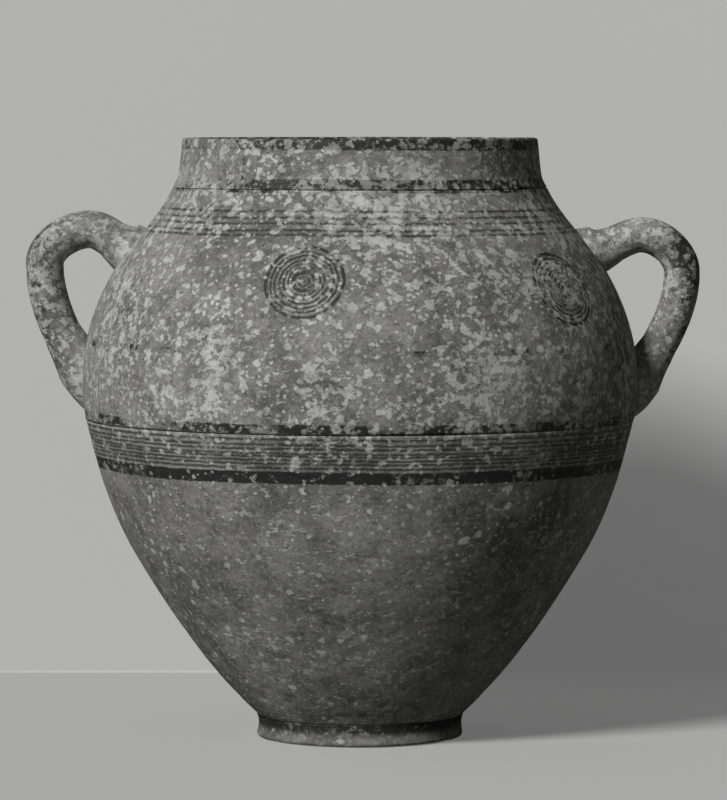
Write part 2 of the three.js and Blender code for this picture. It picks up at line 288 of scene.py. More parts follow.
class JarSurfaceSettings(bpy.types.PropertyGroup):
    clay: bpy.props.FloatVectorProperty(
        name="Clay", description="Colour of the fired clay", subtype="COLOR", size=3,
        default=(0.185, 0.183, 0.176), min=0.0, max=1.0)
    crust: bpy.props.FloatVectorProperty(
        name="Lime crust", description="Colour of the lime crust", subtype="COLOR", size=3,
        default=(0.40, 0.40, 0.386), min=0.0, max=1.0)
    paint: bpy.props.FloatVectorProperty(
        name="Dark paint", description="Colour of the worn dark paint", subtype="COLOR", size=3,
        default=(0.011, 0.011, 0.011), min=0.0, max=1.0)
    relief: bpy.props.FloatProperty(
        name="Relief", description="Depth of the marks left by the potter's hands",
        subtype="DISTANCE", unit="LENGTH", default=0.0006, min=0.0, max=0.003)
    pit: bpy.props.FloatProperty(
        name="Pits", description="Depth of the small pits in the surface",
        subtype="DISTANCE", unit="LENGTH", default=0.0005, min=0.0, max=0.003)


class JarStageSettings(bpy.types.PropertyGroup):
    backdrop_distance: bpy.props.FloatProperty(
        name="Backdrop", description="How far the backdrop stands behind the jar's axis",
        subtype="DISTANCE", unit="LENGTH", default=0.291, min=0.2, max=3.0)
    pale: bpy.props.FloatVectorProperty(
        name="Pale", description="Colour of the floor and the backdrop", subtype="COLOR", size=3,
        default=(0.36, 0.36, 0.352), min=0.0, max=1.0)
    key_strength: bpy.props.FloatProperty(
        name="Key light", description="Strength of the light from the front left",
        default=3.7, min=0.0, max=10.0)
    fill_strength: bpy.props.FloatProperty(
        name="Fill", description="Strength of the even light all round", default=0.07, min=0.0, max=2.0)


def surface_settings():
    return bpy.context.scene.jar_surface


def stage_settings():
    return bpy.context.scene.jar_stage


# Outline of the wall


def between(a, b, share):
    """Point on the smooth curve between two stations."""
    chord = math.hypot(b[0] - a[0], b[1] - a[1])
    place = share * share * (3 - 2 * share)
    leave = share * (1 - share) ** 2 * chord
    arrive = share * share * (share - 1) * chord
    start, end = math.radians(a[2]), math.radians(b[2])
    return (
        a[0] + (b[0] - a[0]) * place + leave * math.cos(start) + arrive * math.cos(end),
        a[1] + (b[1] - a[1]) * place + leave * math.sin(start) + arrive * math.sin(end),
    )


def curve_point(stations, place):
    """Point at a place, which counts the stations passed and the share of the next span."""
    span = min(int(place), len(stations) - 2)
    return between(stations[span], stations[span + 1], place - span)


def curve_frame(stations, place):
    """Point on the curve and the unit direction along it."""
    near = 1e-3
    before = curve_point(stations, max(place - near, 0))
    after = curve_point(stations, min(place + near, len(stations) - 1))
    length = math.hypot(after[0] - before[0], after[1] - before[1])
    along = ((after[0] - before[0]) / length, (after[1] - before[1]) / length)
    return curve_point(stations, place), along


def wall_point(place, out=0.0):
    """Point on the outer wall, or a distance out from it."""
    (r, z), along = curve_frame(WALL_STATIONS, place)
    return (r + along[1] * out, z - along[0] * out)


def inner_point(place):
    """Point on the inner wall, opposite the same place outside."""
    low = min(int(place), len(WALL_STATIONS) - 2)
    a, b = WALL_THICKNESS[low], WALL_THICKNESS[low + 1]
    return wall_point(place, -(a + (b - a) * (place - low)))


def place_at(point_at, height):
    """Place at which the outer or inner wall reaches a height."""
    low, high = 0.0, len(WALL_STATIONS) - 1.0
    for _ in range(HALVINGS):
        middle = (low + high) / 2
        if point_at(middle)[1] < height:
            low = middle
        else:
            high = middle
    return (low + high) / 2


def run(point_at, start, end, steps):
    """Points at even steps of place along the outer or inner wall."""
    return [point_at(start + (end - start) * i / steps) for i in range(steps + 1)]


def bend(start, corner, end, steps):
    """Points of a smooth bend from one point to another round a corner."""
    points = []
    for i in range(steps + 1):
        t = i / steps
        points.append(tuple(
            (1 - t) ** 2 * a + 2 * t * (1 - t) * b + t * t * c for a, b, c in zip(start, corner, end)
        ))
    return points


def joined(*runs):
    """One list of points from several, without the points that two of them share."""
    points = []
    for part in runs:
        for p in part:
            if not points or math.dist(points[-1], p) > SAME_POINT:
                points.append(p)
    if math.dist(points[0], points[-1]) < SAME_POINT:
        points.pop()
    return points


WALL_TABLE = [wall_point(i / TABLE_STEPS) for i in range(TABLE_STEPS * (len(WALL_STATIONS) - 1) + 1)]


def wall_radius(height):
    """Radius of the outer wall at a height, between points of a fine table of the outline."""
    if height <= WALL_TABLE[0][1]:
        return WALL_TABLE[0][0]
    for low, high in zip(WALL_TABLE, WALL_TABLE[1:]):
        if low[1] <= height <= high[1]:
            return low[0] + (high[0] - low[0]) * (height - low[1]) / (high[1] - low[1])
    return WALL_TABLE[-1][0]


# Marks of the potter's hands. Every piece is worked by the same function, so that seams meet.


def hollow(p, scale, start, level, steepness):
    """Depth of the hollows of one kind at a point, from 0 to 1."""
    return min(max(noise.noise(p * scale + Vector(start)) - level, 0) * steepness, 1.0)


def worked(point, normal):
    """Where a point of the surface ends up after throwing, drying and wear. Only ever inwards."""
    settings = surface_settings()
    p = Vector(point)
    turn = Vector((p.x * THROWING_ROUND, p.y * THROWING_ROUND, p.z * THROWING_UP))
    throwing = 0.5 + 0.5 * noise.noise(turn)
    unevenness = 0.5 + 0.5 * noise.noise(p * UNEVEN_SCALE + Vector(UNEVEN_START))
    grain = 0.5 + 0.5 * noise.noise(p * GRAIN_SCALE)
    marks = THROWING_SHARE * throwing + UNEVEN_SHARE * unevenness + GRAIN_SHARE * grain
    depth = settings.relief * marks
    depth += settings.pit * (hollow(p, *PITS) + hollow(p, *SCARS))
    return p - Vector(normal) * depth


def add_mesh(name, vertices, faces, material, cad_node):
    """One piece with its worked surface, in the place of a CAD node."""
    mesh = bpy.data.meshes.new(name)
    mesh.from_pydata([Vector(v) * MM for v in vertices], [], faces)
    mesh.update()
    moved = [worked(v.co, n.vector) for v, n in zip(mesh.vertices, mesh.vertex_normals)]
    for vertex, place in zip(mesh.vertices, moved):
        vertex.co = place
    mesh.shade_smooth()
    mesh.materials.append(material)
    piece = bpy.data.objects.new(name, mesh)
    bpy.context.scene.collection.objects.link(piece)
    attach(piece, "root")
    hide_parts(cad_node)


def turned_points(points):
    """Vertices of points in radius and height, repeated all the way round from the front."""
    vertices = []
    for i in range(ROUND_STEPS):
        angle = 2 * math.pi * i / ROUND_STEPS
        sine, cosine = math.sin(angle), -math.cos(angle)
        vertices += [(r * sine, r * cosine, z) for r, z in points]
    return vertices


def band_faces(here, there, count):
    """Faces between two closed rings of vertices, given the index at which each ring starts."""
    faces = []
    for j in range(count):
        k = (j + 1) % count
        faces.append((here + j, there + j, there + k, here + k))
    return faces


def turned(profile):
    """Vertices and faces of a closed profile, in radius and height, turned all the way round."""
    faces = []
    count = len(profile)
    for i in range(ROUND_STEPS):
        faces += band_faces(i * count, (i + 1) % ROUND_STEPS * count, count)
    return turned_points(profile), faces


def turned_disc(profile):
    """As turned, for a profile whose first and last points lie on the axis."""
    inner = profile[1:-1]
    count = len(inner)
    vertices, faces = turned_points(inner), []
    low, high = len(vertices), len(vertices) + 1
    vertices += [(0, 0, profile[0][1]), (0, 0, profile[-1][1])]
    for i in range(ROUND_STEPS):
        here, there = i * count, (i + 1) % ROUND_STEPS * count
        for j in range(count - 1):
            faces.append((here + j, there + j, there + j + 1, here + j + 1))
        faces.append((low, there, here))
        faces.append((high, here + count - 1, there + count - 1))
    return vertices, faces


# Profiles of the turned pieces


def seat_radius():
    """Radius at which the wall's cone would reach the underside of the floor."""
    return FOOT_JOINT[0] - (FOOT_JOINT[1] - FOOT_RECESS) / math.tan(math.radians(FOOT_JOINT[2]))


def foot_profile():
    bore = (FOOT_BORE_RADIUS, FOOT_RECESS - SLIP)
    return joined(
        bend(FOOT_SOLE_OUTSIDE, FOOT_TOE_CORNER, FOOT_TOE, steps=6),
        bend(FOOT_TOE, FOOT_WAIST, FOOT_BROW, steps=12),
        [(seat_radius(), FOOT_RECESS - SLIP), bore],
        bend(bore, FOOT_BORE_CORNER, FOOT_SOLE_INSIDE, steps=6),
    )


def bowl_profile():
    inner_top = place_at(inner_point, SEAM[1] + SEAM_BEVEL)
    inner_foot = place_at(inner_point, FLOOR_HEIGHT + FLOOR_BEND_RISE)
    inner = run(inner_point, inner_top, inner_foot, steps=36)
    end = inner[-1]
    corner = (end[0] - FLOOR_BEND_CORNER, FLOOR_HEIGHT)
    floor_edge = (end[0] - FLOOR_BEND_REACH, FLOOR_HEIGHT)
    return [(0.0, FOOT_RECESS)] + joined(
        [(RING_UNDER_FLOOR, FOOT_RECESS), (seat_radius(), FOOT_RECESS)],
        run(wall_point, FOOT_PLACE, SEAM_PLACE, steps=120),
        inner,
        bend(end, corner, floor_edge, steps=8),
        [(RING_ON_FLOOR, FLOOR_HEIGHT)],
    ) + [(0.0, FLOOR_HEIGHT)]


def shoulder_profile():
    seat = place_at(wall_point, SEAM[1] + JOINT_GAP)
    inner_seat = place_at(inner_point, SEAM[1] + SEAM_BEVEL + JOINT_GAP)
    inner_top = place_at(inner_point, NECK[1] + NECK_BEVEL)
    return joined(
        run(wall_point, seat, NECK_PLACE, steps=110),
        run(inner_point, inner_top, inner_seat, steps=34),
    )


def collar_profile():
    seat = place_at(wall_point, NECK[1] + JOINT_GAP)
    inner_seat = place_at(inner_point, NECK[1] + NECK_BEVEL + JOINT_GAP)
    outside = COLLAR_TOP[0]
    inside = outside - LIP_THICKNESS
    return joined(
        run(wall_point, seat, TOP_PLACE, steps=30),
        bend(COLLAR_TOP[:2], (outside, LIP_HEIGHT), (outside - LIP_OUTER_ROUND, LIP_HEIGHT), steps=6),
        bend((inside + LIP_INNER_ROUND, LIP_HEIGHT), (inside, LIP_HEIGHT),
             (inside, LIP_HEIGHT - LIP_INNER_ROUND), steps=5),
        run(inner_point, LIP_INNER_PLACE, inner_seat, steps=14),
    )


def break_angle(base, lean, height):
    """Angle of a break at a height: upright low down, leaning over and ragged near the lip."""
    share = max((height - (LIP_HEIGHT - BREAK_LEAN_HEIGHT)) / BREAK_LEAN_HEIGHT, 0)
    ragged = BREAK_RAGGEDNESS * noise.noise(Vector((base, height * RAGGED_SCALE, 0.0)))
    return base - lean * share * share + ragged


def collar_arc(profile, is_sherd):
    """The sherd's arc of the collar's ring, or the rest of the ring, with closed ends."""
    right, left = SHERD_RIGHT, SHERD_RIGHT - SHERD_SPAN
    steps = SHERD_STEPS if is_sherd else ROUND_STEPS - SHERD_STEPS
    vertices, faces = [], []
    count = len(profile)
    for i in range(steps + 1):
        share = i / steps
        for r, z in profile:
            at_right = break_angle(right, SHERD_LEAN, z)
            at_left = break_angle(left, -SHERD_LEAN / 2, z)
            start, end = (at_left, at_right) if is_sherd else (at_right, at_left + 360)
            angle = math.radians(start + BREAK_GAP + (end - start - 2 * BREAK_GAP) * share)
            vertices.append((r * math.sin(angle), -r * math.cos(angle), z))
    for i in range(steps):
        faces += band_faces(i * count, (i + 1) * count, count)
    faces.append(tuple(range(count)))
    faces.append(tuple(reversed(range(steps * count, (steps + 1) * count))))
    return vertices, faces


def chipped(vertices):
    """The sherd's vertices with a shell-shaped chip out of its upper right corner."""
    angle = math.radians(SHERD_RIGHT - CHIP_TURN)
    reach = COLLAR_TOP[0] + CHIP_STAND_OFF
    centre = Vector((reach * math.sin(angle), -reach * math.cos(angle), LIP_HEIGHT - CHIP_DROP))
    result = []
    for v in vertices:
        away = Vector(v) - centre
        radius = CHIP_RADIUS + CHIP_WAVER * noise.noise(Vector(v) * RAGGED_SCALE)
        result.append(tuple(centre + away.normalized() * radius) if away.length < radius else v)
    return result


# Handles


def moved_along(station, distance, direction, slope):
    """A new station at a distance from another, in a direction and with a slope in degrees."""
    turn = math.radians(direction)
    return (station[0] + distance * math.cos(turn), station[1] + distance * math.sin(turn), slope)


def carried_on(loop):
    """The loop's stations with each end carried on into the wall."""
    upper, lower = loop[0], loop[-1]
    tucked = (lower[2] + LOWER_ROOT_TUCK) / 2
    return [
        moved_along(upper, -UPPER_ROOT_RUN, upper[2], upper[2]),
        *loop,
        moved_along(lower, LOWER_ROOT_RUN, tucked, LOWER_ROOT_TUCK),
    ]


def swept(stations, rings, side):
    """An oval swept along a line in the handle's plane; rings give place and half thickness."""
    vertices, faces = [], []
    for place, half in rings:
        (r, z), along = curve_frame(stations, place)
        for i in range(COIL_SIDES):
            turn = 2 * math.pi * i / COIL_SIDES
            out = half * math.cos(turn)
            across = half * COIL_WIDTH_SHARE * math.sin(turn)
            v = (side * (r + along[1] * out), across, z - along[0] * out)
            vertices.append(kept_in_wall(v))
    count = COIL_SIDES
    for ring in range(len(rings) - 1):
        for i in range(count):
            k = (i + 1) % count
            a, b = ring * count + i, ring * count + k
            face = (a, b, b + count, a + count)
            faces.append(face if side > 0 else tuple(reversed(face)))
    first = tuple(range(count))
    last = tuple(range((len(rings) - 1) * count, len(rings) * count))
    faces.append(tuple(reversed(first)) if side > 0 else first)
    faces.append(last if side > 0 else tuple(reversed(last)))
    return vertices, faces


def kept_in_wall(v):
    """A vertex deeper in the wall than its middle is brought out to it, so nothing shows inside."""
    radius = math.hypot(v[0], v[1])
    least = wall_radius(v[2]) - ROOT_DEPTH
    if radius >= least:
        return v
    return (v[0] * least / radius, v[1] * least / radius, v[2])


def place_out_of_wall(stations, end):
    """Place where a handle's middle line leaves the wall, on the way out from one of its ends."""
    inside, outside = end, (len(stations) - 1) / 2
    for _ in range(HALVINGS):
        middle = (inside + outside) / 2
        r, z = curve_point(stations, middle)
        if r < wall_radius(z):
            inside = middle
        else:
            outside = middle
    return inside


def coil_mesh(loop, half, side):
    """Vertices and faces of a handle's coil, a little lumpy and just inside its CAD piece."""
    stations = carried_on(loop)
    last = len(stations) - 1
    rings = []
    for i in range(COIL_STEPS + 1):
        place = last * i / COIL_STEPS
        lumpy = 1 + COIL_LUMPS * noise.noise(Vector((place * LUMP_SPACING, side * LUMP_SHIFT, 0)))
        rings.append((place, (half - COIL_INSET) * lumpy))
    return swept(stations, rings, side)


def wad_mesh(loop, half, side, upper):
    """Vertices and faces of the clay smoothed round one root, thin on the coil and wide at the wall."""
    stations = carried_on(loop)
    end = 0.0 if upper else float(len(stations) - 1)
    at_wall = place_out_of_wall(stations, end)
    thin_end = at_wall + (UPPER_WAD_REACH if upper else LOWER_WAD_REACH)
    rings = []
    for i in range(WAD_STEPS + 1):
        place = end + (thin_end - end) * i / WAD_STEPS
        share = min(max((thin_end - place) / (thin_end - at_wall), 0), 1)
        swell = WAD_LIP * min(share * WAD_LIP_STEEPNESS, 1) + WAD_FLARE * share ** WAD_FLARE_POWER
        rings.append((place, half - WAD_FEATHER + swell))
    if not upper:
        rings.reverse()
    return swept(stations, rings, side)


# Shader groups


def new_group(name, inputs, outputs):
    group = bpy.data.node_groups.new(name, "ShaderNodeTree")
    for label, kind, default in inputs:
        socket = group.interface.new_socket(name=label, in_out="INPUT", socket_type=kind)
        if default is not None:
            socket.default_value = default
    for label, kind in outputs:
        group.interface.new_socket(name=label, in_out="OUTPUT", socket_type=kind)
    return group, group.nodes.new("NodeGroupInput"), group.nodes.new("NodeGroupOutput")


def feed(tree, socket, value):
    """Link a socket to the output that feeds it, or give it a constant."""
    if isinstance(value, bpy.types.NodeSocket):
        tree.links.new(value, socket)
    else:
        socket.default_value = value


def math_node(tree, operation, *values):
    node = tree.nodes.new("ShaderNodeMath")
    node.operation = operation
    for socket, value in zip(node.inputs, values):
        feed(tree, socket, value)
    return node.outputs[0]


def weighted(tree, *terms):
    """Sum of values, each given with its weight."""
    total = math_node(tree, "MULTIPLY", *terms[0])
    for value, weight in terms[1:]:
        total = math_node(tree, "ADD", total, math_node(tree, "MULTIPLY", value, weight))
    return total


def smooth_step(tree, value, low, high, to_low=0.0, to_high=1.0):
    node = tree.nodes.new("ShaderNodeMapRange")
    node.interpolation_type = "SMOOTHSTEP"
    tree.links.new(value, node.inputs["Value"])
    for name, number in (("From Min", low), ("From Max", high), ("To Min", to_low), ("To Max", to_high)):
        node.inputs[name].default_value = number
    return node.outputs["Result"]


def noise_node(tree, vector, scale, detail, roughness):
    node = tree.nodes.new("ShaderNodeTexNoise")
    tree.links.new(vector, node.inputs["Vector"])
    node.inputs["Scale"].default_value = scale
    node.inputs["Detail"].default_value = detail
    node.inputs["Roughness"].default_value = roughness
    return node.outputs["Fac"]


def stretched(tree, vector, scale, start=(0.0, 0.0, 0.0)):
    """Coordinates for a pattern: their scale per axis, and where the pattern starts."""
    node = tree.nodes.new("ShaderNodeMapping")
    tree.links.new(vector, node.inputs["Vector"])
    node.inputs["Scale"].default_value = scale
    node.inputs["Location"].default_value = start
    return node.outputs["Vector"]


def colour_sockets(sockets):
    return [s for s in sockets if s.type == "RGBA"]


def mix_colour(tree, share, a, b, blend="MIX"):
    """Colour b laid over colour a by a share of it."""
    node = tree.nodes.new("ShaderNodeMix")
    node.data_type = "RGBA"
    node.blend_type = blend
    feed(tree, node.inputs["Factor"], share)
    for socket, value in zip(colour_sockets(node.inputs), (a, b)):
        feed(tree, socket, value)
    return colour_sockets(node.outputs)[0]


def band_group():
    """Mask of a painted band between two heights, with soft edges."""
    group, into, out = new_group(
        "painted_band",
        (("Height", "NodeSocketFloat", None), ("Middle", "NodeSocketFloat", 0.0),
         ("Half Width", "NodeSocketFloat", 0.001)),
        (("Mask", "NodeSocketFloat"),),
    )
    off = math_node(group, "SUBTRACT", into.outputs["Height"], into.outputs["Middle"])
    away = math_node(group, "ABSOLUTE", off)
    over = math_node(group, "SUBTRACT", away, into.outputs["Half Width"])
    group.links.new(smooth_step(group, over, *BAND_EDGE, 1.0, 0.0), out.inputs["Mask"])
    return group


def circle_group(band):
    """Mask of concentric painted circles round one centre."""
    group, into, out = new_group(
        "painted_circles",
        (("Position", "NodeSocketVector", None), ("Centre", "NodeSocketVector", (0, 0, 0))),
        (("Mask", "NodeSocketFloat"),),
    )
    distance = group.nodes.new("ShaderNodeVectorMath")
    distance.operation = "DISTANCE"
    group.links.new(into.outputs["Position"], distance.inputs[0])
    group.links.new(into.outputs["Centre"], distance.inputs[1])
    waver = swing(group, noise_node(group, into.outputs["Position"], *CIRCLE_NOISE), CIRCLE_WAVER)
    reach = math_node(group, "ADD", distance.outputs["Value"], waver)
    mask = None
    for radius, half_width in CIRCLE_RINGS:
        mask = stacked_band(group, band, reach, radius * MM, half_width * MM, mask)
    group.links.new(mask, out.inputs["Mask"])
    return group


def stacked_band(tree, band, value, middle, half_width, below):
    node = tree.nodes.new("ShaderNodeGroup")
    node.node_tree = band
    tree.links.new(value, node.inputs["Height"])
    node.inputs["Middle"].default_value = middle
    node.inputs["Half Width"].default_value = half_width
    if below is None:
        return node.outputs["Mask"]
    return math_node(tree, "MAXIMUM", node.outputs["Mask"], below)


def swing(tree, value, width):
    """A noise from 0 to 1 as a swing of that width to both sides of 0."""
    return math_node(tree, "MULTIPLY", math_node(tree, "SUBTRACT", value, 0.5), width)


def spot_mask(tree, place, scale, size, shift, amount, raggedness):
    """Separate ragged spots of crust, more and larger where there is more of it."""
    cells = tree.nodes.new("ShaderNodeTexVoronoi")
    tree.links.new(stretched(tree, place, (1, 1, 1.15), shift), cells.inputs["Vector"])
    cells.inputs["Scale"].default_value = scale
    split = tree.nodes.new("ShaderNodeSeparateColor")
    tree.links.new(cells.outputs["Color"], split.inputs[0])
    chosen = math_node(tree, "ADD", split.outputs[0], math_node(tree, "MULTIPLY", amount, SPOT_CRUST_SHARE))
    reach = math_node(tree, "MULTIPLY", smooth_step(tree, chosen, SPOT_LEVEL, SPOT_FULL), size)
    edge = math_node(tree, "SUBTRACT", reach, cells.outputs["Distance"])
    edge = math_node(tree, "ADD", edge, swing(tree, raggedness, SPOT_RAGGEDNESS))
    mask = smooth_step(tree, edge, 0.0, SPOT_SOFTNESS)
    return math_node(tree, "MULTIPLY", mask, smooth_step(tree, chosen, SPOT_LEVEL, SPOT_FADE))


def bare_clay(group, clay, pale, place, mottle, grain):
    """Colour of the clay with its broad tones, specks and smudges."""
    tone = weighted(group, (noise_node(group, place, *BROAD_NOISE), 0.5), (mottle, 0.5))
    tint = mix_colour(group, smooth_step(group, tone, *TONE_EDGE), *CLAY_TINTS)
    clay = mix_colour(group, 1.0, clay, tint, "MULTIPLY")
    clay = mix_colour(group, smooth_step(group, grain, *PALE_GRAIN), clay, pale)
    clay = mix_colour(group, smooth_step(group, grain, *DARK_GRAIN), clay, DARK_SPECK)
    fine = noise_node(group, stretched(group, place, (1, 1, 1.2), (0.2, 0.6, 0.3)), *FINE_NOISE)
    clay = mix_colour(group, smooth_step(group, fine, *DARK_MOTTLE), clay, DARK_SMUDGE)
    return mix_colour(group, smooth_step(group, fine, *PALE_MOTTLE), clay, pale)


def fleck_mask(group, place):
    """Small light flecks, drawn out sideways, on the lower half of the jar."""
    rise = group.nodes.new("ShaderNodeSeparateXYZ")
    group.links.new(place, rise.inputs[0])
    flecks = noise_node(group, stretched(group, place, FLECK_STRETCH), *FLECK_NOISE)
    return math_node(group, "MULTIPLY", smooth_step(group, flecks, *FLECK_EDGE),
                     smooth_step(group, rise.outputs["Z"], *FLECK_HEIGHTS))


def scratch_mask(group, place):
    """Fine marks drawn round the jar."""
    drawn = stretched(group, place, SCRATCH_STRETCH, start=(0.3, 0.1, 0.0))
    return smooth_step(group, noise_node(group, drawn, *SCRATCH_NOISE), *SCRATCH_EDGE)


def kept_paint(group, place, wear_amount, mask):
    """What is left of the paint under its mask."""
    fine = noise_node(group, stretched(group, place, (1, 1, 1), (0.5, 0.2, 0.9)), *FINE_WEAR_NOISE)
    broad = noise_node(group, stretched(group, place, (1, 1, 1), (0.1, 0.7, 0.4)), *BROAD_WEAR_NOISE)
    wear = weighted(group, (fine, FINE_WEAR_SHARE), (broad, BROAD_WEAR_SHARE))
    kept = math_node(group, "SUBTRACT", math_node(group, "SUBTRACT", WEAR_LEVEL, wear_amount), wear)
    return math_node(group, "MULTIPLY", smooth_step(group, kept, *WEAR_EDGE), mask)


def crust_mask(group, place, crust_amount):
    """Patches of lime crust, with separate spots round them."""
    patches = noise_node(group, stretched(group, place, (1, 1, 1.2), (0.4, 0.9, 0.2)), *PATCH_NOISE)
    spread = noise_node(group, stretched(group, place, (1, 1, 1), (0.8, 0.3, 0.6)), *SPREAD_NOISE)
    amount = weighted(
        group, (patches, PATCH_SHARE), (spread, SPREAD_SHARE), (crust_amount, AMOUNT_SHARE))
    crust = smooth_step(group, amount, *PATCH_EDGE)
    for scale, size, shift in CRUST_SPOTS:
        spots = spot_mask(group, place, scale, size, shift, crust_amount, patches)
        crust = math_node(group, "MAXIMUM", crust, spots)
    return crust


def clay_group():
    """Fired clay with specks, worn paint, lime crust and scratches."""
    group, into, out = new_group(
        "fired_clay",
        (("Clay", "NodeSocketColor", (0.18, 0.18, 0.17, 1)),
         ("Crust", "NodeSocketColor", (0.4, 0.4, 0.39, 1)),
         ("Paint", "NodeSocketColor", (0.02, 0.02, 0.02, 1)), ("Paint Mask", "NodeSocketFloat", 0.0),
         ("Paint Wear", "NodeSocketFloat", 0.5), ("Crust Amount", "NodeSocketFloat", 0.5)),
        (("Colour", "NodeSocketColor"), ("Roughness", "NodeSocketFloat"), ("Height", "NodeSocketFloat")),
    )
    place = group.nodes.new("ShaderNodeTexCoord").outputs["Object"]
    pale = into.outputs["Crust"]
    mottle = noise_node(group, place, *MOTTLE_NOISE)
    grain = noise_node(group, place, *GRAIN_NOISE)
    flecks = fleck_mask(group, place)
    clay = bare_clay(group, into.outputs["Clay"], pale, place, mottle, grain)
    clay = mix_colour(group, math_node(group, "MULTIPLY", flecks, FLECK_STRENGTH), clay, pale)
    clay = mix_colour(group, scratch_mask(group, place), clay, pale)

    paint = kept_paint(group, place, into.outputs["Paint Wear"], into.outputs["Paint Mask"])
    painting = math_node(group, "MULTIPLY", paint, PAINT_COVER)
    painted = mix_colour(group, painting, clay, into.outputs["Paint"])

    crust = crust_mask(group, place, into.outputs["Crust Amount"])
    crust_tone = smooth_step(group, weighted(group, (mottle, 0.5), (grain, 0.5)), *TONE_EDGE)
    crusted = mix_colour(group, 1.0, pale, mix_colour(group, crust_tone, *CRUST_TINTS), "MULTIPLY")
    cover = math_node(group, "SUBTRACT", CRUST_COVER, math_node(group, "MULTIPLY", paint, PAINT_UNDER_CRUST))
    colour = mix_colour(group, math_node(group, "MULTIPLY", crust, cover), painted, crusted)
    group.links.new(colour, out.inputs["Colour"])

    smoother = math_node(group, "MULTIPLY", paint, PAINT_SMOOTHING)
    crust_rough = math_node(group, "MULTIPLY", crust, CRUST_ROUGHNESS)
    clay_rough = math_node(group, "SUBTRACT", CLAY_ROUGHNESS, smoother)
    group.links.new(math_node(group, "MAXIMUM", clay_rough, crust_rough), out.inputs["Roughness"])
    relief = weighted(group, (grain, GRAIN_RELIEF), (mottle, MOTTLE_RELIEF), (crust, CRUST_RELIEF),
                      (flecks, FLECK_RELIEF))
    group.links.new(relief, out.inputs["Height"])
    return group


def named_group(name, make, *needs):
    """The node group of that name, made on its first use."""
    return bpy.data.node_groups.get(name) or make(*needs)


def wavy_height(tree):
    """Place on the jar, and its height with the slight waver of a hand-held brush."""
    place = tree.nodes.new("ShaderNodeTexCoord").outputs["Object"]
    split = tree.nodes.new("ShaderNodeSeparateXYZ")
    tree.links.new(place, split.inputs[0])
    waver = swing(tree, noise_node(tree, stretched(tree, place, (1, 1, 0.2)), *WAVER_NOISE), BRUSH_WAVER)
    ragged = swing(tree, noise_node(tree, place, *BRUSH_NOISE), BRUSH_RAGGEDNESS)
    shift = math_node(tree, "ADD", waver, ragged)
    return place, math_node(tree, "ADD", split.outputs["Z"], shift)


def clay_material(name, painter, crust_amount, wear, clay_share=1.0):
    """Material of one piece. The painter is a function that puts out the mask of its paint."""
    settings = surface_settings()
    material = bpy.data.materials.new(name)
    material.use_nodes = True
    tree = material.node_tree
    shader = tree.nodes["Principled BSDF"]
    shader.inputs["Specular IOR Level"].default_value = 0.3
    node = tree.nodes.new("ShaderNodeGroup")
    node.node_tree = named_group("fired_clay", clay_group)
    node.inputs["Clay"].default_value = tuple(c * clay_share for c in settings.clay) + (1,)
    node.inputs["Crust"].default_value = (*settings.crust, 1)
    node.inputs["Paint"].default_value = (*settings.paint, 1)
    node.inputs["Paint Wear"].default_value = wear
    place, height = wavy_height(tree)
    tree.links.new(painter(tree, place, height), node.inputs["Paint Mask"])
    split = tree.nodes.new("ShaderNodeSeparateXYZ")
    tree.links.new(place, split.inputs[0])
    low_amount = crust_amount * LOW_CRUST_SHARE
    upward = smooth_step(tree, split.outputs["Z"], *CRUST_HEIGHTS, low_amount, crust_amount)
    tree.links.new(upward, node.inputs["Crust Amount"])
    tree.links.new(node.outputs["Colour"], shader.inputs["Base Color"])
    tree.links.new(node.outputs["Roughness"], shader.inputs["Roughness"])
    bump = tree.nodes.new("ShaderNodeBump")
    bump.inputs["Strength"].default_value = 0.6
    bump.inputs["Distance"].default_value = 0.0008
    tree.links.new(node.outputs["Height"], bump.inputs["Height"])
    tree.links.new(bump.outputs["Normal"], shader.inputs["Normal"])
    return material


def outside_only(tree, place, height, mask):
    """The mask, kept off the inside of the jar: no paint nearer the axis than the wall's middle."""
    split = tree.nodes.new("ShaderNodeSeparateXYZ")
    tree.links.new(place, split.inputs[0])
    square = math_node(tree, "ADD", math_node(tree, "MULTIPLY", split.outputs["X"], split.outputs["X"]),
                       math_node(tree, "MULTIPLY", split.outputs["Y"], split.outputs["Y"]))
    radius = math_node(tree, "SQRT", square)
    lowest, highest = OUTSIDE_HEIGHTS
    ramp = tree.nodes.new("ShaderNodeFloatCurve")
    curve = ramp.mapping.curves[0]
    for i in range(OUTSIDE_STEPS + 1):
        z = lowest + (highest - lowest) * i / OUTSIDE_STEPS
        spot = (i / OUTSIDE_STEPS, (wall_radius(z) - OUTSIDE_DEPTH) / OUTSIDE_REACH)
        if i in (0, OUTSIDE_STEPS):
            curve.points[0 if i == 0 else -1].location = spot
        else:
            curve.points.new(*spot)
    ramp.mapping.update()
    along = linear_share(tree, height, lowest * MM, highest * MM)
    tree.links.new(along, ramp.inputs["Value"])
    limit = math_node(tree, "MULTIPLY", ramp.outputs["Value"], OUTSIDE_REACH * MM)
    outside = math_node(tree, "GREATER_THAN", radius, limit)
    return math_node(tree, "MULTIPLY", mask, outside)


def linear_share(tree, value, low, high):
    """How far a value has come from low to high, from 0 to 1."""
    node = tree.nodes.new("ShaderNodeMapRange")
    tree.links.new(value, node.inputs["Value"])
    node.inputs["From Min"].default_value = low
    node.inputs["From Max"].default_value = high
    return node.outputs["Result"]


def band_mask(tree, height, bands, lines, mask=None):
    """Mask of painted bands and thin lines at their heights, over another mask if there is one."""
    band = named_group("painted_band", band_group)
    for low, high in bands:
        mask = stacked_band(tree, band, height, (low + high) / 2 * MM, (high - low) / 2 * MM, mask)
    for middle in lines:
        mask = stacked_band(tree, band, height, middle * MM, LINE_WIDTH / 2 * MM, mask)
    return mask


